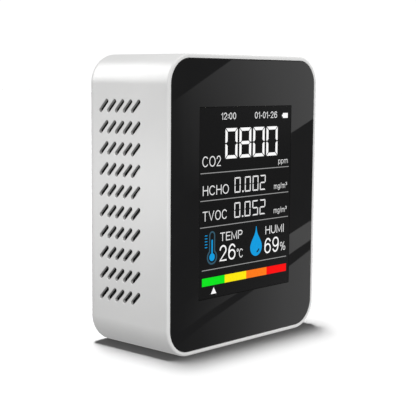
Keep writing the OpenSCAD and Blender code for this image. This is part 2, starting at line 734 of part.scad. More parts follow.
module cover_screws() color([0.75, 0.75, 0.77]) seen_from_front()
    at_four(boss_x, boss_dz) difference() {
        union() {
            translate([0, 0, rear_f + 0.05]) cylinder(r1 = 2, r2 = screw_r, h = 1.2);
            bar(screw_r, rear_f + 0.1, rear_f + 9);
        }
        for (turn = [0, 90]) rotate([0, 0, turn])
            translate([-1.1, -0.25, rear_f - cut]) cube([2.2, 0.5, cut + 0.7]);
    }

// ---------- what is drawn ----------

main_case();
front_panel();
panel_adhesive();
display_film();
lcd_front_glass();
lcd_rear_glass();
rear_polariser();
diffuser_sheet();
light_guide();
reflector_sheet();
backlight_leds();
display_tray();
display_flex();
flex_connector();
main_board();
board_screws();
microcontroller();
crystal();
charger_chip();
board_passives();
co2_sensor_board();
co2_header();
co2_chamber();
co2_filters();
infrared_lamp();
infrared_detector();
hcho_sensor_can();
hcho_membrane();
tvoc_sensor();
humidity_sensor();
battery();
battery_tape();
battery_leads();
battery_plug();
battery_socket();
io_board();
io_board_screws();
usb_shell();
usb_tongue();
charge_led();
light_pipe();
io_harness();
io_plug();
io_socket();
switch_body();
switch_dome();
switch_cover_plate();
switch_plunger();
power_button();
rear_cover();
cover_screws();
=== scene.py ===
"""Carbon dioxide monitor: the looks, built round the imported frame.

Everything is in metres in the frame's own axes: x across, y from front (-) to rear (+), z up.
Big sizes come from the frame's boxes; the small ones that the boxes don't give are named below.
"""
import json
import math
import bpy
import bmesh
from mathutils import Matrix, Vector, geometry


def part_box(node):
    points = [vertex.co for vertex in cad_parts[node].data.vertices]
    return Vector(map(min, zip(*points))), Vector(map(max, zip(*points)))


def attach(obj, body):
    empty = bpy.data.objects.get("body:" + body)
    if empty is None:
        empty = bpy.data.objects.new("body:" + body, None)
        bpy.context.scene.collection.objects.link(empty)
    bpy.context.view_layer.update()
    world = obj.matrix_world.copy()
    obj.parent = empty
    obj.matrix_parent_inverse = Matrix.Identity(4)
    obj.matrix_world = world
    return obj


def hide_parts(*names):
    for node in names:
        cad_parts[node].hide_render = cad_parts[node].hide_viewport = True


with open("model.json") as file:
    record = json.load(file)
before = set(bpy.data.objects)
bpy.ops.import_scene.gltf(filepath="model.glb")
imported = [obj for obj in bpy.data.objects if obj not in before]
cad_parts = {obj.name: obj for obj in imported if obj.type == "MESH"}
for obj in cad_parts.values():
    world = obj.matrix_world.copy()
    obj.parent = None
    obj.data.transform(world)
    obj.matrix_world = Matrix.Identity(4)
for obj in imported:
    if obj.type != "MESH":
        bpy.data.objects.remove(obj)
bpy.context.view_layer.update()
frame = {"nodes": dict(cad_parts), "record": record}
MM = 0.001

# ---------- sizes from the frame
case_lo, case_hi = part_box("main_case")
cover_lo, cover_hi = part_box("rear_cover")
panel_lo, panel_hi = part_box("front_panel")
film_lo, film_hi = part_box("display_film")
button_lo, button_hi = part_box("power_button")
port_lo, port_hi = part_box("usb_shell")
pipe_lo, pipe_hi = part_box("light_pipe")
screws_lo, screws_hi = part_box("cover_screws")
WIDTH = case_hi.x - case_lo.x
HEIGHT = case_hi.z - case_lo.z
MID_Z = (case_lo.z + case_hi.z) / 2
FRONT = case_lo.y
REAR = case_hi.y

CORNER_R = 9 * MM
FRONT_EDGE_R = 0.6 * MM
REAR_EDGE_R = 3 * MM
WALL = 1.8 * MM
RIM = 1.2 * MM
SHELF_FRONT = FRONT + 2.05 * MM
SHELF_BACK = FRONT + 3.85 * MM
SHELF_OPEN_W, SHELF_OPEN_H = 50 * MM, 64 * MM      # window in the shelf behind the panel
COVER_T = 1.8 * MM
SEAT = REAR - COVER_T
LEDGE_BACK = SEAT - 1.8 * MM
SEAT_MARGIN = 3.3 * MM
LEDGE_MARGIN = 5.6 * MM
VENT_COLS, VENT_ROWS = 5, 10
VENT_STEP, VENT_ROW_STEP = 3.49 * MM, 6.41 * MM
VENT_W, VENT_RUN = 1.35 * MM, 2.8 * MM
VENT_BACK, VENT_LIFT = 3.1 * MM, 0.6 * MM
VENT_GREY_SHADE_DEPTH = 1.05 * MM         # depth from the face over which a side vent's wall has the mid-grey painted shade; deeper in, the near-black painted shade of the inside begins
COVER_VENT_COLS, COVER_VENT_ROWS, COVER_VENT_Z = 9, 5, 60 * MM
LIP = 0.16 * MM               # rounding of moulded edges round small openings
VENT, INSIDE_SHADE = 1, 2           # tones of the case, after its plastic: mid-grey painted shade on the side vents' walls, near-black painted shade on the inside
BUTTON_R = 4 * MM
BUTTON_Z = (button_lo.z + button_hi.z) / 2
PORT_Z = (port_lo.z + port_hi.z) / 2
PORT_W, PORT_H = 8.94 * MM, 3.26 * MM
PIPE_X = (pipe_lo.x + pipe_hi.x) / 2
SCREW_HEAD_R, SCREW_R = 2 * MM, 0.8 * MM
BOSS_X = (screws_hi.x - screws_lo.x) / 2 - SCREW_HEAD_R
BOSS_DZ = (screws_hi.z - screws_lo.z) / 2 - SCREW_HEAD_R
BOSS_BORE_R = 0.85 * MM
BOSS_GAP = 0.02 * MM          # keeps a boss's top clear of what is screwed to it
BOARD_BOSS_X, BOARD_BOSS_DZ = 27.8 * MM, 20 * MM
BOARD_FRONT = FRONT + 7.9 * MM
WINDOW_Z = (film_lo.z + film_hi.z) / 2
WINDOW_W, WINDOW_H = 43.5 * MM, 58.2 * MM


# ---------- outlines
def arc(x, z, rx, rz, a0, a1, steps=None):
    """Points on an ellipse from a0 to a1 degrees, both ends included."""
    steps = steps or max(6, round(abs(a1 - a0) / 15))
    angles = [math.radians(a0 + (a1 - a0) * k / steps) for k in range(steps + 1)]
    return [(x + rx * math.cos(a), z + rz * math.sin(a)) for a in angles]


def circle(x, z, r, a0, a1, steps=32):
    return arc(x, z, r, r, a0, a1, steps)


class Outline:
    """A closed 2-D outline that can be drawn at any offset: arcs (centre, radius, from, to), in order."""

    def __init__(self, arcs, steps):
        self.arcs, self.steps = arcs, steps

    def at(self, offset):
        points = []
        for (cx, cy), radius, a0, a1 in self.arcs:
            for k in range(self.steps + 1):
                a = math.radians(a0 + (a1 - a0) * k / self.steps)
                points.append((cx + (radius + offset) * math.cos(a), cy + (radius + offset) * math.sin(a)))
        return points

    def straight(self, k):
        """Whether the stretch after point k joins two arcs."""
        return (k + 1) % (self.steps + 1) == 0


def rounded_rect(w, h, r, cy, steps):
    """Centred on x = 0."""
    corners = [(1, 1, 0), (-1, 1, 90), (-1, -1, 180), (1, -1, 270)]
    dx, dy = w / 2 - r, h / 2 - r
    return Outline([((sx * dx, cy + sy * dy), r, a, a + 90) for sx, sy, a in corners], steps)


def round_hole(r, cx, cy, steps):
    return Outline([((cx, cy), r, a, a + 90) for a in (0, 90, 180, 270)], steps)


def slot(cx, cy, dx, dy, width):
    """Round-ended slot whose end centres are half of (dx, dy) either side of the middle."""
    lean = math.degrees(math.atan2(dy, dx))
    return Outline([((cx + dx / 2, cy + dy / 2), width / 2, lean - 90, lean + 90),
                    ((cx - dx / 2, cy - dy / 2), width / 2, lean + 90, lean + 270)], 9)


class Profile:
    """How an outline changes with depth: (offset, level) points, with a note of which bands are curved."""

    def __init__(self, offset, level):
        self.points, self.curved = [(offset, level)], []

    def line(self, offset, level):
        self.points.append((offset, level))
        self.curved.append(False)
        return self

    def round(self, offset, level, leaving, steps):
        """A quarter round, which leaves a face or a wall."""
        d0, l0 = self.points[-1]
        for k in range(1, steps + 1):
            a = math.radians(90 * k / steps)
            fast, slow = math.sin(a), 1 - math.cos(a)
            u, v = (fast, slow) if leaving == "face" else (slow, fast)
            self.points.append((d0 + (offset - d0) * u, l0 + (level - l0) * v))
            self.curved.append(True)
        return self


def eased(offset, face, back, steps=4):
    """From an offset in the face, rounded down to the outline's own size, then straight to the back."""
    edge = math.copysign(offset, back - face)
    return Profile(offset, face).round(0, face + edge, "face", steps).line(0, back)


def seen_along_y(p, level):
    return (p[0], level, p[1])


def seen_along_x(p, level):
    return (level, p[0], p[1])


def drawn(loops):
    """The points and edges of closed loops, for a triangulation."""
    points, edges = [], []
    for loop in loops:
        start, count = len(points), len(loop)
        points += loop
        edges += [(start + k, start + (k + 1) % count) for k in range(count)]
    return points, edges


def place(name, data):
    obj = bpy.data.objects.new(name, data)
    bpy.context.scene.collection.objects.link(obj)
    return obj


# ---------- meshes with exact normals
def inside(p, loop):
    hit = False
    for k in range(len(loop)):
        (x1, y1), (x2, y2) = loop[k], loop[(k + 1) % len(loop)]
        if (y1 > p[1]) != (y2 > p[1]) and p[0] < (x2 - x1) * (p[1] - y1) / (y2 - y1) + x1:
            hit = not hit
    return hit


def corner_normal(face, vert, mark, limit):
    """A flat face keeps its normal; a curved one takes a flat neighbour's, or blends with the curved ones."""
    if face[mark]:
        return face.normal.copy()
    near = [f for f in vert.link_faces if f.normal.dot(face.normal) > limit]
    flats = [f for f in near if f[mark]]
    if flats:
        return sum((f.normal * f.calc_area() for f in flats), Vector()).normalized()
    total = Vector()
    for f in near:
        arms = [e.other_vert(vert).co - vert.co for e in f.edges if vert in e.verts]
        total += f.normal * arms[0].angle(arms[1], 0.0)
    return total.normalized() if total.length > 0 else face.normal.copy()


class Skin:
    """Collects welded points and faces. A flat face pins the normals round its edge.

    Each face has a tone, the place of its material in the piece's list. self.tone is that of new faces.
    """

    def __init__(self):
        self.see, self.points, self.index = seen_along_y, [], {}
        self.faces, self.flat, self.tones, self.tone = [], [], [], 0

    def face(self, corners, flat):
        ids = []
        for p in corners:
            key = tuple(round(c * 1e8) for c in p)
            if key not in self.index:
                self.index[key] = len(self.points)
                self.points.append(tuple(p))
            if self.index[key] not in ids:
                ids.append(self.index[key])
        if len(ids) > 2:
            self.faces.append(ids)
            self.flat.append(flat)
            self.tones.append(self.tone)

    def sweep(self, outline, profile, skip=None, tone=0):
        """Bands of quads down a profile, the straight ones in the tone given.

        skip(a, b, a_next, level, next_level) leaves out the quad over a straight stretch a-b.
        """
        for (d0, l0), (d1, l1), curved in zip(profile.points, profile.points[1:], profile.curved):
            self.tone = 0 if curved else tone
            a, b = outline.at(d0), outline.at(d1)
            for k in range(len(a)):
                m = (k + 1) % len(a)
                if skip and not curved and outline.straight(k) and skip(a[k], a[m], b[k], l0, l1):
                    continue
                quad = [self.see(a[k], l0), self.see(a[m], l0), self.see(b[m], l1), self.see(b[k], l1)]
                level_band = abs(l0 - l1) < 1e-9
                self.face(quad, flat=level_band or (not curved and outline.straight(k)))
        self.tone = 0

    def fill(self, outer, holes, level):
        """The flat region between an outer loop and hole loops."""
        points, edges = drawn([outer] + holes)
        in_mm = [Vector((x / MM, y / MM)) for x, y in points]
        found, _, faces, source = geometry.delaunay_2d_cdt(in_mm, edges, [], 1, 1e-6)[:4]
        back = [points[own[0]] if own else (p.x * MM, p.y * MM) for p, own in zip(found, source)]
        for f in faces:
            corners = [back[i] for i in f]
            middle = [sum(c) / len(corners) for c in zip(*corners)]
            if not any(inside(middle, hole) for hole in holes):
                self.face([self.see(c, level) for c in corners], flat=True)

    def sink(self, loop, level, floor):
        """Straight walls from a loop down to a flat floor."""
        for k in range(len(loop)):
            a, b = loop[k], loop[(k + 1) % len(loop)]
            quad = [self.see(a, level), self.see(b, level), self.see(b, floor), self.see(a, floor)]
            self.face(quad, flat=False)
        self.fill(loop, [], floor)

    def retone(self, tone, chosen):
        """Gives the tone to the faces whose middle is chosen."""
        for k, face in enumerate(self.faces):
            if chosen(*(sum(self.points[i][axis] for i in face) / len(face) for axis in range(3))):
                self.tones[k] = tone

    def slab(self, outline, profile, holes=()):
        """A closed plate: its outer profile from first level to last, and holes with their own profiles."""
        self.sweep(outline, profile)
        (d0, l0), (d1, l1) = profile.points[0], profile.points[-1]
        for hole, hole_profile in holes:
            self.sweep(hole, hole_profile)
            bottom, level = hole_profile.points[-1]
            if abs(level - l1) > 1e-9:
                self.fill(hole.at(bottom), [], level)
        through = [(h, p) for h, p in holes if abs(p.points[-1][1] - l1) <= 1e-9]
        self.fill(outline.at(d0), [h.at(p.points[0][0]) for h, p in holes], l0)
        self.fill(outline.at(d1), [h.at(p.points[-1][0]) for h, p in through], l1)

    def build(self, name, smooth_angle=40):
        mesh = bpy.data.meshes.new(name)
        mesh.from_pydata(self.points, [], self.faces)
        bm = bmesh.new()
        bm.from_mesh(mesh)
        mark = bm.faces.layers.int.new("flat")
        for face, flat, tone in zip(bm.faces, self.flat, self.tones):
            face[mark] = int(flat)
            face.material_index = tone
        bmesh.ops.recalc_face_normals(bm, faces=bm.faces)
        bm.normal_update()
        limit = math.cos(math.radians(smooth_angle))
        normals = []
        for face in bm.faces:
            face.smooth = True
            normals += [corner_normal(face, loop.vert, mark, limit) for loop in face.loops]
        bm.to_mesh(mesh)
        bm.free()
        mesh.normals_split_custom_set(normals)
        return place(name, mesh)


def slot_grid(cols, rows, cx, cy, run_x, run_y):
    return [slot(cx + (c - (cols - 1) / 2) * VENT_STEP, cy + (r - (rows - 1) / 2) * VENT_ROW_STEP,
                 run_x, run_y, VENT_W) for c in range(cols) for r in range(rows)]


# ---------- case
def at_four(dx, dz):
    return [(sx * dx, MID_Z + sz * dz) for sx in (-1, 1) for sz in (-1, 1)]


def add_boss(skin, x, z, radius, top, bottom, depth):
    """A screw boss from bottom to top, with a blind bore of the depth given."""
    floor = top - depth if top > bottom else top + depth
    hole = (round_hole(BOSS_BORE_R, x, z, 6), Profile(0, top).line(0, floor))
    skin.slab(round_hole(radius, x, z, 6), Profile(0, top).line(0, bottom), [hole])


def in_cavity(x, y, z):
    """Whether a point is in the space behind the panel's shelf, or on its walls."""
    slack = 1e-7
    across = max(abs(x) - WIDTH / 2 + CORNER_R, 0)
    up = max(abs(z - MID_Z) - HEIGHT / 2 + CORNER_R, 0)
    return math.hypot(across, up) < CORNER_R - WALL + slack and SHELF_BACK - slack < y < LEDGE_BACK + slack


def make_case():
    skin = Skin()
    outer = rounded_rect(WIDTH, HEIGHT, CORNER_R, MID_Z, 20)
    opening = rounded_rect(SHELF_OPEN_W, SHELF_OPEN_H, 0.5 * MM, WINDOW_Z, 3)
    soft = 0.12 * MM              # rounding of the edges beside the panel and the cover
    profile = Profile(-RIM, SHELF_FRONT).line(-RIM, FRONT + soft)
    profile.round(-RIM + soft, FRONT, "wall", 3).line(-FRONT_EDGE_R, FRONT)
    profile.round(0, FRONT + FRONT_EDGE_R, "face", 6).line(0, REAR - REAR_EDGE_R)
    profile.round(-REAR_EDGE_R, REAR, "wall", 10).line(-SEAT_MARGIN + soft, REAR)
    profile.round(-SEAT_MARGIN, REAR - soft, "face", 3).line(-SEAT_MARGIN, SEAT)
    profile.line(-LEDGE_MARGIN, SEAT).line(-LEDGE_MARGIN, LEDGE_BACK)
    profile.line(-WALL, LEDGE_BACK).line(-WALL, SHELF_BACK)

    def is_side_wall(a, b, a_next, level, next_level):
        """The long bands of the two side walls, which are filled in below with their slots."""
        upright = abs(a[0] - b[0]) < 1e-9 and abs(a[0] - a_next[0]) < 1e-9
        return upright and abs(abs(a[0]) - WIDTH / 2) < WALL + 1e-9 and abs(level - next_level) > WIDTH / 4

    skin.sweep(outer, profile, skip=is_side_wall)
    skin.sweep(opening, Profile(0, SHELF_FRONT).line(0, SHELF_BACK))
    skin.fill(outer.at(-RIM), [opening.at(0)], SHELF_FRONT)
    skin.fill(outer.at(-WALL), [opening.at(0)], SHELF_BACK)

    # Side walls with their slots, the upper ends of which lean towards the front
    slots = slot_grid(VENT_COLS, VENT_ROWS, VENT_BACK, MID_Z + VENT_LIFT, -VENT_RUN, VENT_RUN)
    skin.see = seen_along_x
    low, high = case_lo.z + CORNER_R, case_hi.z - CORNER_R
    for side in (-1, 1):
        face_x, inner_x = side * WIDTH / 2, side * (WIDTH / 2 - WALL)
        shade_step_x = face_x - side * VENT_GREY_SHADE_DEPTH
        for hole in slots:
            # Painted shade down each slot: mid grey near the face, near-black deeper in
            skin.sweep(hole, eased(LIP, face_x, shade_step_x), tone=VENT)
            skin.sweep(hole, Profile(0, shade_step_x).line(0, inner_x), tone=INSIDE_SHADE)
        for x, front, back, offset in ((face_x, FRONT + FRONT_EDGE_R, REAR - REAR_EDGE_R, LIP),
                                       (inner_x, SHELF_BACK, LEDGE_BACK, 0)):
            wall = [(front, low), (back, low), (back, high), (front, high)]
            skin.fill(wall, [h.at(offset) for h in slots], x)
    # Every face inside the case, behind the shelf, gets the near-black painted shade
    skin.retone(INSIDE_SHADE, in_cavity)
    case = skin.build("case_shell")

    bosses = Skin()
    for x, z in at_four(BOSS_X, BOSS_DZ):
        add_boss(bosses, x, z, 3.1 * MM, SEAT - BOSS_GAP, SHELF_BACK, 9 * MM)
    for x, z in at_four(BOARD_BOSS_X, BOARD_BOSS_DZ):
        add_boss(bosses, x, z, 2.4 * MM, BOARD_FRONT - BOSS_GAP, SHELF_BACK, 3.5 * MM)
    return case, bosses.build("case_bosses")


def make_panel():
    skin = Skin()
    face, back = panel_lo.y, panel_hi.y
    edge, lip, gap = 0.22 * MM, 0.05 * MM, 0.1 * MM
    across, up = panel_hi.x - panel_lo.x, panel_hi.z - panel_lo.z
    outline = rounded_rect(across, up, CORNER_R - RIM - gap, MID_Z, 16)
    window = rounded_rect(WINDOW_W, WINDOW_H, 0.15 * MM, WINDOW_Z, 3)
    skin.slab(outline, eased(-edge, face, back), [(window, eased(lip, face, back, 2))])
    return skin.build("gloss_panel")


def make_cover():
    skin = Skin()
    face, back = cover_hi.y, cover_hi.y - COVER_T
    edge = 0.15 * MM
    outline = rounded_rect(cover_hi.x - cover_lo.x, cover_hi.z - cover_lo.z, 5.6 * MM, MID_Z, 16)
    vents = slot_grid(COVER_VENT_COLS, COVER_VENT_ROWS, 0, COVER_VENT_Z, VENT_RUN, VENT_RUN)
    holes = [(vent, eased(LIP, face, back)) for vent in vents]
    # A shallow finger dish surrounds the button
    dish = Profile(1.45 * MM, face).round(1.25 * MM, face - 0.1 * MM, "face", 3)
    dish.line(0.3 * MM, face - 0.5 * MM).round(0, face - 0.62 * MM, "face", 3).line(0, back)
    holes.append((round_hole(BUTTON_R + 0.15 * MM, 0, BUTTON_Z, 16), dish))
    room = 0.6 * MM
    port = rounded_rect(PORT_W + room, PORT_H + room, (PORT_H + 0.54 * MM) / 2, PORT_Z, 10)
    holes.append((port, eased(0.3 * MM, face, back)))
    holes.append((round_hole(1.05 * MM, PIPE_X, PORT_Z, 8), eased(LIP, face, back, 3)))
    for x, z in at_four(BOSS_X, BOSS_DZ):
        cone = Profile(1.1 * MM, face).round(1.02 * MM, face - 0.06 * MM, "face", 2)
        cone.line(0, face - 1.05 * MM).line(0, back)
        holes.append((round_hole(1.1 * MM, x, z, 10), cone))
    skin.slab(outline, eased(-edge, face, back), holes)
    plate = skin.build("back_plate")

    bosses = Skin()
    for x in (-9.6 * MM, 9.6 * MM):
        add_boss(bosses, x, (BUTTON_Z + PORT_Z) / 2, 2.2 * MM, cover_lo.y, back, 4.5 * MM)
    return plate, bosses.build("back_plate_bosses")


def make_button():
    """Cap with its flange and stem, and the open ring and bar of the power symbol sunk into the face."""
    skin = Skin()
    face, stem = button_hi.y, button_lo.y
    flange_back, flange_front = REAR - 1.95 * MM, REAR - 2.75 * MM
    ring_r, half_stroke, sink = 1.9 * MM, 0.2 * MM, 0.2 * MM
    from_top = 35                 # degrees between the top of the ring and each of its ends
    outside, inner = (circle(0, BUTTON_Z, radius, 90 + from_top, 450 - from_top)
                      for radius in (ring_r + half_stroke, ring_r - half_stroke))
    open_ring = outside + inner[::-1]
    low, high = BUTTON_Z + 0.6 * MM, BUTTON_Z + 2.5 * MM
    bar = [(-half_stroke, low), (half_stroke, low), (half_stroke, high), (-half_stroke, high)]
    cap = round_hole(BUTTON_R, 0, BUTTON_Z, 16)
    soft, flange, neck = 0.45 * MM, 1 * MM, -2.5 * MM     # all from the cap's radius
    profile = Profile(-soft, face).round(0, face - soft, "face", 6).line(0, flange_back)
    profile.line(flange, flange_back).line(flange, flange_front).line(neck, flange_front).line(neck, stem)
    skin.sweep(cap, profile)
    skin.fill(cap.at(-soft), [open_ring, bar], face)
    skin.fill(cap.at(neck), [], stem)
    for loop in (open_ring, bar):
        skin.sink(loop, face, face - sink)
    return skin.build("button_cap")


def make_cover_screws():
    """Countersunk tapping screws with a cross recess. The thread is a row of ridges on the shank."""
    skin = Skin()
    face, tip = screws_hi.y, screws_lo.y
    edge, cone, pitch, ridges = 0.1 * MM, 1.2 * MM, 0.9 * MM, 7
    root, crest, point = (r - SCREW_HEAD_R for r in (0.66 * MM, SCREW_R, 0.45 * MM))
    arm, half, deep = 1.1 * MM, 0.25 * MM, 0.7 * MM
    recess = []
    for c, s in ((1, 0), (0, 1), (-1, 0), (0, -1)):
        recess += [(x * c - y * s, x * s + y * c) for x, y in ((arm, -half), (arm, half), (half, half))]
    for x, z in at_four(BOSS_X, BOSS_DZ):
        disc = round_hole(SCREW_HEAD_R, x, z, 10)
        cross = [(x + dx, z + dz) for dx, dz in recess]
        profile = Profile(-edge, face).round(0, face - edge, "face", 3).line(crest, face - cone)
        for turn in range(ridges):
            y = face - cone - pitch * (turn + 1 / 3)
            profile.line(root, y).line(root, y - pitch / 3)
            profile.line(crest, y - pitch / 2).line(root, y - 2 * pitch / 3)
        profile.line(point, tip)
        skin.sweep(disc, profile)
        skin.fill(disc.at(-edge), [cross], face)
        skin.fill(disc.at(point), [], tip)
        skin.sink(cross, face, face - deep)
    return skin.build("cover_screw_set", smooth_angle=50)


# ---------- what the display shows
MARK_BACK = film_lo.y + 0.001 * MM      # lit marks stand a hair proud of the film
MARK_FRONT = film_lo.y - 0.015 * MM
WHITE, SOFT_WHITE, GREY = (1.0, 1.0, 1.0), (0.84, 0.84, 0.84), (0.33, 0.33, 0.33)
SKY_BLUE, DEEP_BLUE = (0.003, 0.335, 0.74), (0.034, 0.095, 0.14)
GREEN, YELLOW, ORANGE, RED = (0.002, 0.79, 0.013), (1.0, 0.82, 0.001), (1.0, 0.195, 0.007), (1.0, 0.0, 0.0)
READING_PEN, LABEL_PEN, CLOCK_PEN, UNIT_PEN = 0.5, 0.3, 0.25, 0.16
# Each figure is drawn on seven strokes: top, upper right, lower right, bottom, lower left, upper left, middle
SEGMENTS = {"0": "abcdef", "2": "abged", "5": "afgcd", "8": "abcdefg"}


def ring(x, z, rx, rz):
    """A closed path: its last point is its first."""
    return arc(x, z, rx, rz, 0, 360)


# Plain lettering drawn with a pen: each letter's width, then its pen paths in a box that runs from 0 to 1
# both ways, all in proportion to the height of a capital
LETTER_GAP = 0.17
SIX = [ring(0.5, 0.31, 0.5, 0.31), [(0, 0.31), *arc(0.54, 0.5, 0.54, 0.5, 180, 42)]]
LETTERS = {
    "C": (0.92, [arc(0.52, 0.5, 0.52, 0.5, 42, 318)]),
    "O": (0.98, [ring(0.5, 0.5, 0.5, 0.5)]),
    "H": (0.8, [[(0, 0), (0, 1)], [(1, 0), (1, 1)], [(0, 0.53), (1, 0.53)]]),
    "T": (0.82, [[(0, 1), (1, 1)], [(0.5, 1), (0.5, 0)]]),
    "V": (0.94, [[(0, 1), (0.5, 0), (1, 1)]]),
    "E": (0.74, [[(1, 1), (0, 1), (0, 0), (1, 0)], [(0, 0.53), (0.93, 0.53)]]),
    "M": (0.96, [[(0, 0), (0, 1), (0.5, 0.08), (1, 1), (1, 0)]]),
    "P": (0.76, [[(0, 0), (0, 1), (0.6, 1), *arc(0.6, 0.73, 0.4, 0.27, 90, -90), (0, 0.46)]]),
    "U": (0.8, [[(0, 1), (0, 0.38), *arc(0.5, 0.38, 0.5, 0.38, 180, 360), (1, 1)]]),
    "I": (0.14, [[(0.5, 0), (0.5, 1)]]),
    "0": (0.66, [ring(0.5, 0.5, 0.5, 0.5)]),
    "1": (0.34, [[(0, 0.76), (1, 1), (1, 0)]]),
    "2": (0.68, [[*arc(0.5, 0.71, 0.48, 0.29, 170, -30), (0, 0), (1, 0)]]),
    "3": (0.64, [arc(0.48, 0.76, 0.44, 0.24, 160, -90), arc(0.48, 0.26, 0.52, 0.26, 90, -160)]),
    "6": (0.7, SIX),
    "9": (0.7, [[(1 - x, 1 - z) for x, z in path] for path in SIX]),
    ":": (0.14, [[(0.5, 0.18), (0.5, 0.3)], [(0.5, 0.6), (0.5, 0.72)]]),
    "-": (0.34, [[(0, 0.38), (1, 0.38)]]),
    "%": (1.1, [ring(0.2, 0.76, 0.2, 0.24), ring(0.8, 0.24, 0.2, 0.24), [(0.24, 0), (0.76, 1)]]),
    "/": (0.36, [[(0, 0), (1, 1)]]),
    "p": (0.62, [[(0, -0.28), (0, 0.7)], ring(0.5, 0.35, 0.5, 0.35)]),
    "g": (0.62, [ring(0.5, 0.37, 0.5, 0.33), [(1, 0.7), *arc(0.5, -0.02, 0.5, 0.24, 0, -150)]]),
    "m": (0.98, [[(0, 0), (0, 0.7)], [*arc(0.25, 0.44, 0.25, 0.26, 180, 0), (0.5, 0)],
                 [*arc(0.75, 0.44, 0.25, 0.26, 180, 0), (1, 0)]]),
}


def pen_side(path, closed, half):
    """The path moved sideways by half a pen width, with mitred corners."""
    moved = []
    last = len(path) - 1
    for k, (x, z) in enumerate(path):
        before = path[k - 1] if k else (path[last - 1] if closed else None)
        after = path[k + 1] if k < last else (path[1] if closed else None)
        ways = [(x - before[0], z - before[1])] if before else []
        ways += [(after[0] - x, after[1] - z)] if after else []
        aside = [Vector((-dz, dx)).normalized() for dx, dz in ways]
        mean = sum(aside, Vector((0, 0))).normalized()
        mitre = min(1 / max(mean.dot(aside[0]), 0.1), 1.6)
        moved.append((x + mean.x * half * mitre, z + mean.y * half * mitre))
    return moved


def pen_stroke(path, half):
    """(outline, holes) of a pen line along the path, its open ends squared half a pen beyond the path."""
    if math.dist(path[0], path[-1]) < 1e-6:
        left, right = pen_side(path, True, half), pen_side(path, True, -half)
        return right[:-1], [left[:-1]]
    first, last = ((Vector(end) - Vector(near)).normalized() * half + Vector(end)
                   for end, near in ((path[0], path[1]), (path[-1], path[-2])))
    path = [tuple(first), *path[1:-1], tuple(last)]
    return pen_side(path, False, half) + pen_side(path, False, -half)[::-1], []


class Marks:
    """Thin raised shapes of one colour, in millimetres across (x) and up (z)."""

    def __init__(self, name, colour):
        self.name, self.colour, self.skin = name, colour, Skin()

    def area(self, parts):
        """One flat raised patch that covers all the parts, each an outline with its holes."""
        points, edges = drawn([loop for outer, holes in parts for loop in [outer, *holes]])
        found, _, faces = geometry.delaunay_2d_cdt([Vector(p) for p in points], edges, [], 1, 1e-5)[:3]
        rim = set()
        for face in faces:
            corners = [found[i] for i in face]
            middle = sum(corners, Vector((0, 0))) / len(corners)
            if any(inside(middle, outer) and not any(inside(middle, hole) for hole in holes)
                   for outer, holes in parts):
                for level in (MARK_FRONT, MARK_BACK):
                    self.skin.face([(c.x * MM, level, c.y * MM) for c in corners], flat=True)
                for k in range(len(face)):
                    a, b = face[k - 1], face[k]
                    rim ^= {(a, b)} if (b, a) not in rim else {(b, a)}
        for a, b in sorted(rim):
            a, b = found[a] * MM, found[b] * MM
            self.skin.face([(a.x, MARK_FRONT, a.y), (b.x, MARK_FRONT, b.y),
                            (b.x, MARK_BACK, b.y), (a.x, MARK_BACK, a.y)], flat=True)

    def shape(self, loop, holes=()):
        self.area([(loop, list(holes))])

    def bar(self, x0, z0, x1, z1):
        self.shape([(x0, z0), (x1, z0), (x1, z1), (x0, z1)])

    def figure(self, digit, x, z, w, h, stroke, gap):
        """A seven-stroke figure with mitred stroke ends, lower left corner at (x, z)."""
        t, mid = stroke, h / 2
        level = [(gap, h), (w - gap, h), (w - t - gap, h - t), (t + gap, h - t)]
        upright = [(w, h - gap), (w, mid + gap), (w - t / 2, mid + gap),
                   (w - t, mid + t / 2 + gap), (w - t, h - t - gap)]
        bridge = [(t / 2 + gap, mid), (t + gap, mid + t / 2), (w - t - gap, mid + t / 2),
                  (w - t / 2 - gap, mid), (w - t - gap, mid - t / 2), (t + gap, mid - t / 2)]
        # Each stroke's shape, and whether it is mirrored across and up
        strokes = {"a": (level, 0, 0), "b": (upright, 0, 0), "c": (upright, 0, 1), "d": (level, 0, 1),
                   "e": (upright, 1, 1), "f": (upright, 1, 0), "g": (bridge, 0, 0)}
        for letter in SEGMENTS[digit]:
            shape, across, up = strokes[letter]
            self.shape([(x + (w - u if across else u), z + (h - v if up else v)) for u, v in shape])

    def text(self, words, x0, z0, x1, z1, pen):
        """Lettering between x0 and x1, its capitals from z0 to z1."""
        natural = sum(LETTERS[letter][0] for letter in words) + LETTER_GAP * (len(words) - 1)
        unit, half, x = (x1 - x0) / natural, pen / 2, x0
        for letter in words:
            width, paths = LETTERS[letter]
            across, up = max(width * unit - pen, 0), z1 - z0 - pen
            self.area([pen_stroke([(x + half + u * across, z0 + half + v * up) for u, v in path], half)
                       for path in paths])
            x += (width + LETTER_GAP) * unit

    def build(self):
        return self.skin.build(self.name)


def bulb(x, z, r, tube, top):
    """Outline of a thermometer: a round bulb, and a tube with a round end."""
    neck = math.degrees(math.acos(tube / 2 / r))
    low = circle(x, z, r, 180 - neck, 360 + neck)
    return low + circle(x, top - tube / 2, tube / 2, 0, 180, 12)


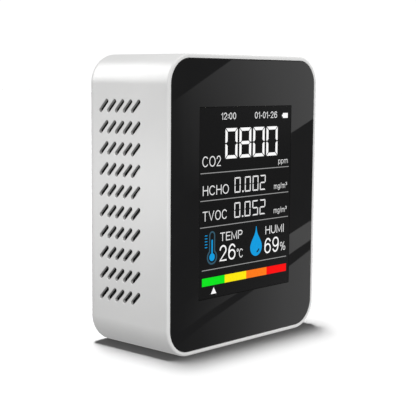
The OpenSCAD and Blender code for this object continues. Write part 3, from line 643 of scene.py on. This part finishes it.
def make_marks():
    """The display's content. Lettering is given as its words, its box x0, z0, x1, z1 and its pen's width."""
    white = Marks("display_marks_white", WHITE)
    for k, digit in enumerate("0800"):
        white.figure(digit, -10.2 + 6.5 * k, 58.55, 5.6, 9.3, 1.0, 0.22)
    soft = Marks("display_marks_soft_white", SOFT_WHITE)
    for figures, z, low in (("0002", 47.8, 47.7), ("0052", 40.0, 39.85)):
        for digit, x in zip(figures, (-5.75, -0.9, 2.85, 6.4)):
            soft.figure(digit, x, z, 2.8, 4.8, 0.42, 0.1)
        soft.bar(-2.1, z, -1.45, z + 0.5)       # decimal point
        soft.text("mg/m", 13.5, low, 19.1, low + 1.85, UNIT_PEN)
        soft.text("3", 19.35, low + 0.85, 20.15, low + 1.9, UNIT_PEN)
    for label in (("CO2", -20.4, 56.5, -12.2, 59.7, LABEL_PEN), ("HCHO", -20.1, 47.85, -8.4, 50.8, LABEL_PEN),
                  ("TVOC", -20.1, 40.1, -9.1, 43.1, LABEL_PEN), ("TEMP", -12.2, 33.35, -1.8, 36.0, LABEL_PEN),
                  ("HUMI", 9.5, 33.35, 18.8, 36.0, LABEL_PEN), ("ppm", 15.5, 55.75, 20.3, 57.6, UNIT_PEN),
                  ("%", 17.0, 27.25, 19.75, 30.1, 0.24), ("C", -3.3, 27.25, -1.4, 30.1, 0.27),
                  ("12:00", -12.1, 70.5, -5.4, 72.6, CLOCK_PEN),
                  ("01-01-26", 3.5, 70.5, 14.5, 72.6, CLOCK_PEN)):
        soft.text(*label)
    soft.area([pen_stroke(ring(-3.95, 29.75, 0.36, 0.36), 0.11)])       # degree sign
    white.text("26", -12.4, 27.1, -5.0, 32.1, READING_PEN)
    white.text("69", 9.1, 27.1, 16.3, 32.1, READING_PEN)
    white.shape([(-16.2, 17.5), (-13.7, 17.5), (-14.95, 19.5)])         # pointer under the scale
    white.bar(17.45, 70.4, 19.95, 72.0)                                 # battery gauge and its tip
    white.bar(17.0, 70.9, 17.45, 71.5)

    grey = Marks("display_marks_grey", GREY)
    for x0, z, x1 in ((-21.2, 54.6, 20.9), (-21.2, 46.3, 20.9), (-21.2, 38.25, 20.9), (-20.3, 25.12, 20.3)):
        grey.bar(x0, z - 0.12, x1, z + 0.12)

    blue = Marks("display_marks_blue", SKY_BLUE)
    x, z = 4.9, 29.8              # middle of the drop's round end
    flank = [(2.12, 31.85), (1.55, 32.75), (0.95, 33.6), (0.5, 34.5), (0.25, 35.4), (0.12, 36.4)]
    right, left = [(x + half, up) for half, up in flank], [(x - half, up) for half, up in reversed(flank)]
    glint = circle(x, z, 1.9, -80, -24, 7) + circle(x, z, 1.35, -24, -80, 7)
    blue.shape(circle(x, z, 2.85, 155, 385, 40) + right + left, [glint])
    x, z = -15.8, 28.9            # middle of the thermometer's bulb
    blue.shape(bulb(x, z, 1.2, 0.6, 34.3))
    rim = Marks("display_marks_deep_blue", DEEP_BLUE)
    rim.shape(bulb(x, z, 2.3, 2.7, 36.9), [bulb(x, z, 1.75, 1.7, 36.4)])
    for tick in (35.7, 34.8, 33.9, 33.0, 32.1):
        blue.bar(-19.05, tick - 0.13, -17.95, tick + 0.13)

    bars = []
    for name, colour, x0, x1 in (("green", GREEN, -20.2, -9.9), ("yellow", YELLOW, -9.9, 0.25),
                                 ("orange", ORANGE, 0.25, 10.25), ("red", RED, 10.25, 20.3)):
        bars.append(Marks("display_bar_" + name, colour))
        bars[-1].bar(x0, 20.2, x1, 22.7)
    return [white, soft, grey, blue, rim, *bars]


# ---------- materials
def new_material(name):
    material = bpy.data.materials.new(name)
    material.use_nodes = True
    return material, material.node_tree.nodes, material.node_tree.links


class Finish:
    """A node material on the Principled shader, built up from a few kinds of texture in object space."""

    def __init__(self, name, metallic=0.0, ior=1.5, specular=0.5, coat=0.0, transmission=0.0):
        self.material, self.nodes, self.links = new_material(name)
        self.shader = self.nodes["Principled BSDF"]
        for socket, value in (("Metallic", metallic), ("IOR", ior), ("Specular IOR Level", specular),
                              ("Coat Weight", coat), ("Coat Roughness", 0.08),
                              ("Transmission Weight", transmission)):
            self.set(socket, value)
        self.where = self.nodes.new("ShaderNodeTexCoord").outputs["Object"]
        self.bumps = None

    def set(self, socket, value):
        self.shader.inputs[socket].default_value = value

    def node(self, kind, settings=(), **inputs):
        node = self.nodes.new(kind)
        for key, value in dict(settings).items():
            setattr(node, key, value)
        for key, value in inputs.items():
            self.plug(value, node.inputs[key.replace("_", " ")])
        return node

    def plug(self, value, socket):
        if isinstance(value, bpy.types.NodeSocket):
            self.links.new(value, socket)
        else:
            socket.default_value = value

    def noise(self, scale, detail=2.0, where=None):
        node = self.node("ShaderNodeTexNoise", Vector=where or self.where, Scale=scale, Detail=detail)
        return node.outputs["Fac"]

    def stretched(self, x, y, z):
        return self.node("ShaderNodeMapping", Vector=self.where, Scale=(x, y, z)).outputs["Vector"]

    def math(self, operation, a, b=0.0):
        node = self.node("ShaderNodeMath", {"operation": operation})
        self.plug(a, node.inputs[0])
        self.plug(b, node.inputs[1])
        return node.outputs[0]

    def spread(self, value, low, high):
        """Carries a noise value, which lies mostly between 0.3 and 0.7, to low and high."""
        node = self.node("ShaderNodeMapRange", Value=value)
        for key, number in (("From Min", 0.3), ("From Max", 0.7), ("To Min", low), ("To Max", high)):
            node.inputs[key].default_value = number
        return node.outputs[0]

    def blend(self, amount, a, b):
        node = self.node("ShaderNodeMix", {"data_type": "RGBA"})
        self.plug(amount, node.inputs["Factor"])
        for socket, colour in zip([s for s in node.inputs if s.type == "RGBA"], (a, b)):
            self.plug(colour if isinstance(colour, bpy.types.NodeSocket) else (*colour, 1), socket)
        return [s for s in node.outputs if s.type == "RGBA"][0]

    def colour(self, value):
        self.links.new(value, self.shader.inputs["Base Color"])
        return self

    def shades(self, a, b, scale=120.0, detail=3.0):
        return self.colour(self.blend(self.spread(self.noise(scale, detail), 0, 1), a, b))

    def roughness(self, low, high, scale=200.0):
        value = self.spread(self.noise(scale, 3.0), low, high)
        self.links.new(value, self.shader.inputs["Roughness"])
        return self

    def bump(self, height, depth, strength=1.0):
        """depth is the real height of the relief in metres."""
        node = self.node("ShaderNodeBump", Height=height, Strength=strength, Distance=depth)
        if self.bumps:
            self.links.new(self.bumps, node.inputs["Normal"])
        self.bumps = node.outputs["Normal"]
        self.links.new(self.bumps, self.shader.inputs["Normal"])
        return self


def moulded(name, a, b, low, high):
    """Moulded plastic: nearly even colour, a fine eroded grain and very slight sink marks."""
    f = Finish(name).shades(a, b, 60).roughness(low, high, 900)
    return f.bump(f.noise(5200, 2.0), 0.004 * MM).bump(f.noise(45, 1.0), 0.03 * MM, 0.25)


def gloss_black():
    """Clear acrylic over black print: mirror smooth, with faint handling haze."""
    f = Finish("gloss_black").shades((0.0046, 0.0046, 0.005), (0.006, 0.006, 0.0064), 90)
    return f.roughness(0.015, 0.05, 55)


def anti_glare():
    """The display's matt front film, nearly black where nothing is lit."""
    f = Finish("anti_glare_film", specular=0.16).roughness(0.5, 0.62, 2500)
    f.shades((0.0052, 0.0052, 0.0055), (0.0066, 0.0066, 0.007), 4000)
    return f.bump(f.noise(9000, 1.0), 0.002 * MM)


def clear(name, tint, low, high, ior=1.5):
    f = Finish(name, ior=ior, transmission=0.9).shades(tint, [c * 0.96 for c in tint], 80)
    return f.roughness(low, high, 300)


def matt(name, a, b, low=0.7, high=0.85, fibre=9000):
    f = Finish(name, specular=0.3).shades(a, b, 1500).roughness(low, high, 600)
    return f.bump(f.noise(fibre, 3.0), 0.01 * MM)


def metal(name, a, b, low, high):
    """Plated or rolled metal with fine lines across z."""
    f = Finish(name, metallic=1.0)
    lines = f.noise(1000, 4.0, f.stretched(0.3, 0.3, 12))
    f.colour(f.blend(f.spread(lines, 0, 1), a, b)).roughness(low, high, 700)
    return f.bump(lines, 0.002 * MM)


def circuit():
    """Green solder mask over copper tracks that turn from cell to cell, and plated dots."""
    cell_size, track_step, track_share = 3.2 * MM, 0.8 * MM, 0.16
    f = Finish("circuit_board", coat=0.25)
    cell = f.node("ShaderNodeVectorMath", {"operation": "SNAP"})
    f.links.new(f.where, cell.inputs[0])
    cell.inputs[1].default_value = (cell_size, 50 * MM, cell_size)
    chance = f.node("ShaderNodeTexWhiteNoise", {"noise_dimensions": "3D"}, Vector=cell.outputs[0])
    turn = chance.outputs["Value"]
    parts = f.node("ShaderNodeSeparateXYZ", Vector=f.where).outputs
    tracks = []
    for axis in ("X", "Z"):
        wave = f.math("PINGPONG", f.math("MULTIPLY", parts[axis], 1 / track_step), 0.5)
        tracks.append(f.math("LESS_THAN", wave, track_share))
    lying, upright = f.math("LESS_THAN", turn, 0.38), f.math("GREATER_THAN", turn, 0.62)
    track = f.math("ADD", f.math("MULTIPLY", tracks[1], lying), f.math("MULTIPLY", tracks[0], upright))
    dots = f.node("ShaderNodeTexVoronoi", Vector=f.where, Scale=420.0, Randomness=0.9).outputs["Distance"]
    via = f.math("LESS_THAN", dots, 0.13)
    mask = f.blend(f.spread(f.noise(200), 0, 1), (0.006, 0.075, 0.028), (0.01, 0.095, 0.036))
    copper = f.blend(track, mask, (0.02, 0.15, 0.06))
    f.colour(f.blend(via, copper, (0.55, 0.5, 0.38))).roughness(0.3, 0.42, 400)
    return f.bump(track, 0.03 * MM)


def woven():
    """A white filter membrane with a fine plain weave."""
    f = Finish("filter_membrane", specular=0.2).roughness(0.8, 0.95)
    f.shades((0.82, 0.82, 0.8), (0.9, 0.9, 0.88), 900)
    threads = [f.node("ShaderNodeTexWave", {"bands_direction": axis}, Vector=f.where, Scale=900.0)
               for axis in "XZ"]
    return f.bump(f.math("MULTIPLY", *(thread.outputs["Fac"] for thread in threads)), 0.04 * MM)


def foil():
    """Laminated pouch foil with slight dents."""
    f = Finish("battery_foil", metallic=1.0).shades((0.62, 0.63, 0.65), (0.7, 0.71, 0.73), 150)
    return f.roughness(0.28, 0.42, 300).bump(f.noise(260, 4.0), 0.06 * MM, 0.5)


def lit(name, colour):
    """A lit display mark. Its brightness dips slightly towards fine gaps, as a cell display's does."""
    f = Finish(name, specular=0.1).shades([c * 0.04 for c in colour], [c * 0.05 for c in colour], 2000)
    f.roughness(0.5, 0.6, 2000)
    glow = f.blend(f.spread(f.noise(1500, 2.0), 0, 1), [c * 0.9 for c in colour], colour)
    f.links.new(glow, f.shader.inputs["Emission Color"])
    f.set("Emission Strength", 1.0)
    return f


def make_materials():
    return {slot: finish.material for slot, finish in {
        "case_plastic": moulded("white_case", (0.80, 0.80, 0.795), (0.83, 0.83, 0.825), 0.36, 0.43),
        "button_plastic": moulded("white_button", (0.78, 0.78, 0.775), (0.82, 0.82, 0.815), 0.3, 0.38),
        "panel_gloss": gloss_black(),
        "display_film": anti_glare(),
        "glass": clear("display_glass", (0.8, 0.84, 0.86), 0.02, 0.05),
        "clear_plastic": clear("clear_acrylic", (0.93, 0.95, 0.97), 0.04, 0.12, 1.49),
        "white_sheet": matt("white_film", (0.88, 0.88, 0.88), (0.93, 0.93, 0.93)),
        "tray_plastic": moulded("white_tray", (0.84, 0.84, 0.83), (0.88, 0.88, 0.87), 0.5, 0.6),
        "flex_film": Finish("amber_film", coat=0.4).shades((0.42, 0.19, 0.03), (0.5, 0.26, 0.05), 700)
                     .roughness(0.3, 0.4),
        "tape": matt("foam_tape", (0.06, 0.06, 0.06), (0.09, 0.09, 0.09), 0.85, 0.95, 4000),
        "circuit_board": circuit(),
        "chip_plastic": moulded("moulded_epoxy", (0.018, 0.018, 0.019), (0.026, 0.026, 0.027), 0.5, 0.65),
        "connector_plastic": moulded("natural_nylon", (0.76, 0.72, 0.62), (0.82, 0.79, 0.7), 0.4, 0.5),
        "passives": matt("ceramic_parts", (0.36, 0.24, 0.13), (0.46, 0.33, 0.2), 0.45, 0.6, 3000),
        "sensor_metal": metal("satin_can", (0.62, 0.62, 0.64), (0.7, 0.7, 0.72), 0.28, 0.38),
        "cell_metal": metal("gold_plate", (0.83, 0.58, 0.25), (0.9, 0.66, 0.32), 0.2, 0.3),
        "filter_fabric": woven(),
        "lamp": clear("lamp_body", (0.95, 0.9, 0.7), 0.1, 0.2),
        "battery_foil": foil(),
        "lead_red": moulded("red_insulation", (0.42, 0.01, 0.01), (0.5, 0.015, 0.012), 0.4, 0.5),
        "lead_black": moulded("black_insulation", (0.015, 0.015, 0.015), (0.025, 0.025, 0.025), 0.4, 0.5),
        "port_steel": metal("nickel_plate", (0.6, 0.58, 0.55), (0.68, 0.66, 0.63), 0.2, 0.3),
        "screw_steel": metal("zinc_plate", (0.55, 0.56, 0.58), (0.64, 0.65, 0.67), 0.25, 0.38),
    }.items()}


def dress(piece, *materials):
    """Gives the piece these materials. Clearing an empty list would reset its faces' tones, so it isn't."""
    if piece.data.materials:
        piece.data.materials.clear()
    for material in materials:
        piece.data.materials.append(material)


# ---------- camera, floor and light
BACKDROP, SKY_LOW, SKY_HIGH = 1.05, 0.4, 0.62
FLOOR_SHADE, FLOOR_LIGHT, FRONT_LIGHT, GLEAM, STRIP_LIGHT = 0.17, 3.6, 1.5, 5.2, 0.008
# How far each floor light leans to the side and to the rear, for one metre of height
FLOOR_LEANS = [(-0.06, 0.05), (-0.02, 0.08), (0.02, 0.11), (0.05, 0.14), (0.1, 0.18)]


def make_camera():
    """The viewing angle: the camera stands to the monitor's left and a little above it."""
    turn, rise, roll = math.radians(-47.368), math.radians(6.778), math.radians(0.457)
    distance, shift_right, centre_z = 0.35201, 0.000798, 0.041152
    back = Vector((math.sin(turn) * math.cos(rise), -math.cos(turn) * math.cos(rise), math.sin(rise)))
    level = Vector((math.cos(turn), math.sin(turn), 0))
    upright = back.cross(level)
    right = level * math.cos(roll) + upright * math.sin(roll)
    up = -level * math.sin(roll) + upright * math.cos(roll)
    target = level * shift_right + Vector((0, 0, centre_z))
    data = bpy.data.cameras.new("camera")
    data.lens, data.sensor_width = 93.99, 36
    camera = place("camera", data)
    axes = Matrix((right, up, back)).transposed()
    camera.matrix_world = Matrix.Translation(target + back * distance) @ axes.to_4x4()
    bpy.context.scene.camera = camera
    return camera


def stage_mesh(name, points, faces, material):
    mesh = bpy.data.meshes.new(name)
    mesh.from_pydata(points, [], faces)
    mesh.materials.append(material)
    obj = place(name, mesh)
    return obj


def glow_material(name, strength):
    """Plain emission; strength is a number, or 'glow' to take it from the mesh."""
    material, nodes, links = new_material(name)
    nodes.clear()
    emission = nodes.new("ShaderNodeEmission")
    if strength == "glow":
        attribute = nodes.new("ShaderNodeAttribute")
        attribute.attribute_name = "glow"
        links.new(attribute.outputs["Fac"], emission.inputs["Strength"])
    else:
        emission.inputs["Strength"].default_value = strength
    links.new(emission.outputs[0], nodes.new("ShaderNodeOutputMaterial").inputs["Surface"])
    return material


def make_floor():
    material, nodes = new_material("pale_floor")[:2]
    shader = nodes["Principled BSDF"]
    shader.inputs["Base Color"].default_value = (FLOOR_SHADE, FLOOR_SHADE, FLOOR_SHADE, 1)
    shader.inputs["Roughness"].default_value = 1.0
    shader.inputs["Specular IOR Level"].default_value = 0.0
    reach, z = 6.0, case_lo.z - 0.01 * MM
    corners = [(-reach, -reach, z), (reach, -reach, z), (reach, reach, z), (-reach, reach, z)]
    floor = stage_mesh("floor", corners, [(0, 1, 2, 3)], material)
    floor.visible_diffuse = floor.visible_glossy = False
    return floor


# Brightness of the card behind the bands, and each band: its name, its upper and lower edge, and the
# brightness along either edge. A band is given on the panel, as it should appear from the camera, with
# its edges as (x, z) in mm and its brightness as (x, strength).
DARK = 0.16
BANDS = [
    ("high", [(-60, 62.8), (-33.2, 76), (-8.2, 88.3), (60, 122)],
     [(-60, 37), (-23, 50), (22.3, 65.6), (60, 80)],
     [(-34, 0.16), (-26, 0.38), (-10, 0.6), (10, 0.88), (34, 1.0)],
     [(-30, 0.16), (-18, 0.2), (20, 0.8), (34, 0.95)]),
    ("narrow", [(-60, 2), (-26, 17), (22.3, 32.3), (33.2, 35.7), (60, 43)],
     [(-60, -1), (-26, 9), (-18.6, 11.8), (-0.9, 17), (22.3, 25.6), (33.2, 29.1), (60, 38)],
     [(-30, 0.16), (-18, 0.2), (0, 0.5), (24, 1.0), (34, 0.98)],
     [(-30, 0.16), (-10, 0.36), (0, 0.5), (24, 0.94), (34, 1.0)]),
    ("low", [(-60, -6), (-26.8, 5.5), (-18.6, 8.8), (4.5, 16.2), (22.3, 21.6), (33.6, 25.9), (60, 35)],
     [(-60, -60), (60, -60)],
     [(-34, 0.16), (-20, 0.22), (-10, 0.33), (0, 0.46), (20, 0.78), (34, 0.88)],
     [(-34, 0.16), (-20, 0.18), (-10, 0.26), (0, 0.36), (20, 0.68), (34, 0.8)]),
]


def along(knots, x):
    """The value at x of a line through the knots, level beyond its ends."""
    if x <= knots[0][0]:
        return knots[0][1]
    for (x0, v0), (x1, v1) in zip(knots, knots[1:]):
        if x <= x1:
            return v0 + (v1 - v0) * (x - x0) / (x1 - x0)
    return knots[-1][1]


def make_cards(camera):
    """What the gloss front mirrors: a dark card with three slanting pale bands, seen by glossy rays only.

    Each band is carried from the panel to the card along the mirrored sight lines.
    """
    eye = camera.matrix_world.translation
    eye = Vector((eye.x, 2 * FRONT - eye.y, eye.z))
    middle = Vector((0, FRONT, MID_Z))
    out = (middle - eye).normalized()
    reach, stand_off = 60 * MM, 0.5 * MM      # the card from the panel, the bands from the card

    def on_card(x, z, nearer=0.0):
        """Where the sight line that the panel mirrors at (x, z) meets the card."""
        start = Vector((x * MM, FRONT, z * MM))
        ray = (start - eye).normalized()
        return start + ray * ((reach - nearer - (start - middle).dot(out)) / ray.dot(out))

    corners = [on_card(x, z) for x, z in ((-90, -80), (90, -80), (90, 190), (-90, 190))]
    cards = [stage_mesh("dark_card", corners, [(0, 1, 2, 3)], glow_material("card_black", DARK))]
    glow = glow_material("card_glow", "glow")
    steps = [-60 + 4 * k for k in range(39)]
    for name, upper, lower, upper_glow, lower_glow in BANDS:
        points, strengths = [], []
        for x in steps:
            for line, knots in ((upper, upper_glow), (lower, lower_glow)):
                points.append(on_card(x, along(line, x), stand_off))
                strengths.append(along(knots, x))
        faces = [(2 * k, 2 * k + 2, 2 * k + 3, 2 * k + 1) for k in range(len(steps) - 1)]
        card = stage_mesh("pale_band_" + name, points, faces, glow)
        card.data.attributes.new("glow", "FLOAT", "POINT").data.foreach_set("value", strengths)
        cards.append(card)
    for card in cards:
        card.visible_camera = card.visible_diffuse = card.visible_transmission = False
        card.visible_volume_scatter = card.visible_shadow = False


def make_world():
    """White behind everything; for lighting, a soft sky that is brightest overhead."""
    world = bpy.data.worlds.new("studio")
    bpy.context.scene.world = world
    world.use_nodes = True
    nodes, links = world.node_tree.nodes, world.node_tree.links
    nodes.clear()
    height = nodes.new("ShaderNodeSeparateXYZ")
    links.new(nodes.new("ShaderNodeTexCoord").outputs["Generated"], height.inputs[0])
    ramp = nodes.new("ShaderNodeMapRange")
    for key, number in (("From Min", -1.0), ("From Max", 1.0), ("To Min", SKY_LOW), ("To Max", SKY_HIGH)):
        ramp.inputs[key].default_value = number
    links.new(height.outputs["Z"], ramp.inputs["Value"])
    backdrop, sky = nodes.new("ShaderNodeBackground"), nodes.new("ShaderNodeBackground")
    backdrop.inputs["Strength"].default_value = BACKDROP
    for shader in (backdrop, sky):
        shader.inputs["Color"].default_value = (1, 1, 1, 1)
    links.new(ramp.outputs[0], sky.inputs["Strength"])
    mix, path = nodes.new("ShaderNodeMixShader"), nodes.new("ShaderNodeLightPath")
    links.new(path.outputs["Is Camera Ray"], mix.inputs[0])
    links.new(sky.outputs[0], mix.inputs[1])
    links.new(backdrop.outputs[0], mix.inputs[2])
    links.new(mix.outputs[0], nodes.new("ShaderNodeOutputWorld").inputs["Surface"])


def add_light(name, kind, spot, aim, **settings):
    data = bpy.data.lights.new(name, kind)
    for key, value in settings.items():
        setattr(data, key, value)
    light = place(name, data)
    light.location = spot
    light.rotation_euler = (Vector(aim) - Vector(spot)).to_track_quat("-Z", "Y").to_euler()
    return light


def link_light(light, obj, state):
    """Limits a light to the object, or keeps it off the object."""
    group = bpy.data.collections.new(light.name + "_link")
    group.objects.link(obj)
    group.collection_objects[0].light_linking.link_state = state
    light.light_linking.receiver_collection = group


def make_lights(floor):
    make_world()
    centre = Vector((0, 0, MID_Z))
    for k, (aside, behind) in enumerate(FLOOR_LEANS):
        sun = add_light("floor_light_%d" % k, "SUN", (aside, behind, 1), (0, 0, 0),
                        energy=FLOOR_LIGHT, angle=math.radians(7))
        link_light(sun, floor, "INCLUDE")
    front = add_light("front_fill", "SUN", (-0.25, -1, 1.1), (0, 0, 0),
                      energy=FRONT_LIGHT, angle=math.radians(40))
    front.visible_glossy = False
    link_light(front, floor, "EXCLUDE")
    key = centre + Vector((-0.52, 0.67, 0.53)) * 0.6
    gleam = add_light("gleam_box", "AREA", key, centre, energy=GLEAM, size=0.44)
    gleam.visible_diffuse = False
    height = 50 * MM
    add_light("side_strip", "AREA", (case_lo.x - 45 * MM, 0, height), (0, 0, height),
              energy=STRIP_LIGHT, shape="RECTANGLE", size=0.1, size_y=0.01)


# ---------- everything put together
def fit(piece, body, slot_name, material, *nodes, inner=()):
    """Dresses a piece and places it on its body, in the stead of the CAD nodes named."""
    dress(piece, material, *inner)
    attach(piece, body)
    if nodes:
        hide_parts(*nodes)


def main():
    materials = make_materials()
    for subpart in frame["record"]["subparts"]:
        dress(frame["nodes"][subpart["node"]], materials[subpart["material_slot"]])

    white = materials["case_plastic"]
    (shell, case_bosses), (plate, plate_bosses) = make_case(), make_cover()
    # Painted shade: mid grey for the side vents' walls
    vents = moulded("vent_walls_painted_shade", (0.5, 0.5, 0.495), (0.54, 0.54, 0.535), 0.5, 0.6)
    # Painted shade: near-black for the inside of the case, seen through the vents
    inside_shade = matt("inside_painted_shade", (0.02, 0.02, 0.02), (0.03, 0.03, 0.03))
    fit(shell, "root", "case_plastic", white, "main_case", inner=(vents.material, inside_shade.material))
    fit(plate, "root", "case_plastic", white, "rear_cover")
    for bosses in (case_bosses, plate_bosses):
        fit(bosses, "root", "case_plastic", white)
    fit(make_panel(), "root", "panel_gloss", materials["panel_gloss"], "front_panel")
    fit(make_cover_screws(), "root", "screw_steel", materials["screw_steel"], "cover_screws")
    fit(make_button(), "button", "button_plastic", materials["button_plastic"], "power_button")
    for marks in make_marks():
        fit(marks.build(), "root", "display_marks", lit(marks.name, marks.colour).material)

    camera = make_camera()
    make_lights(make_floor())
    make_cards(camera)
    bpy.context.scene.view_settings.view_transform = "Standard"


main()
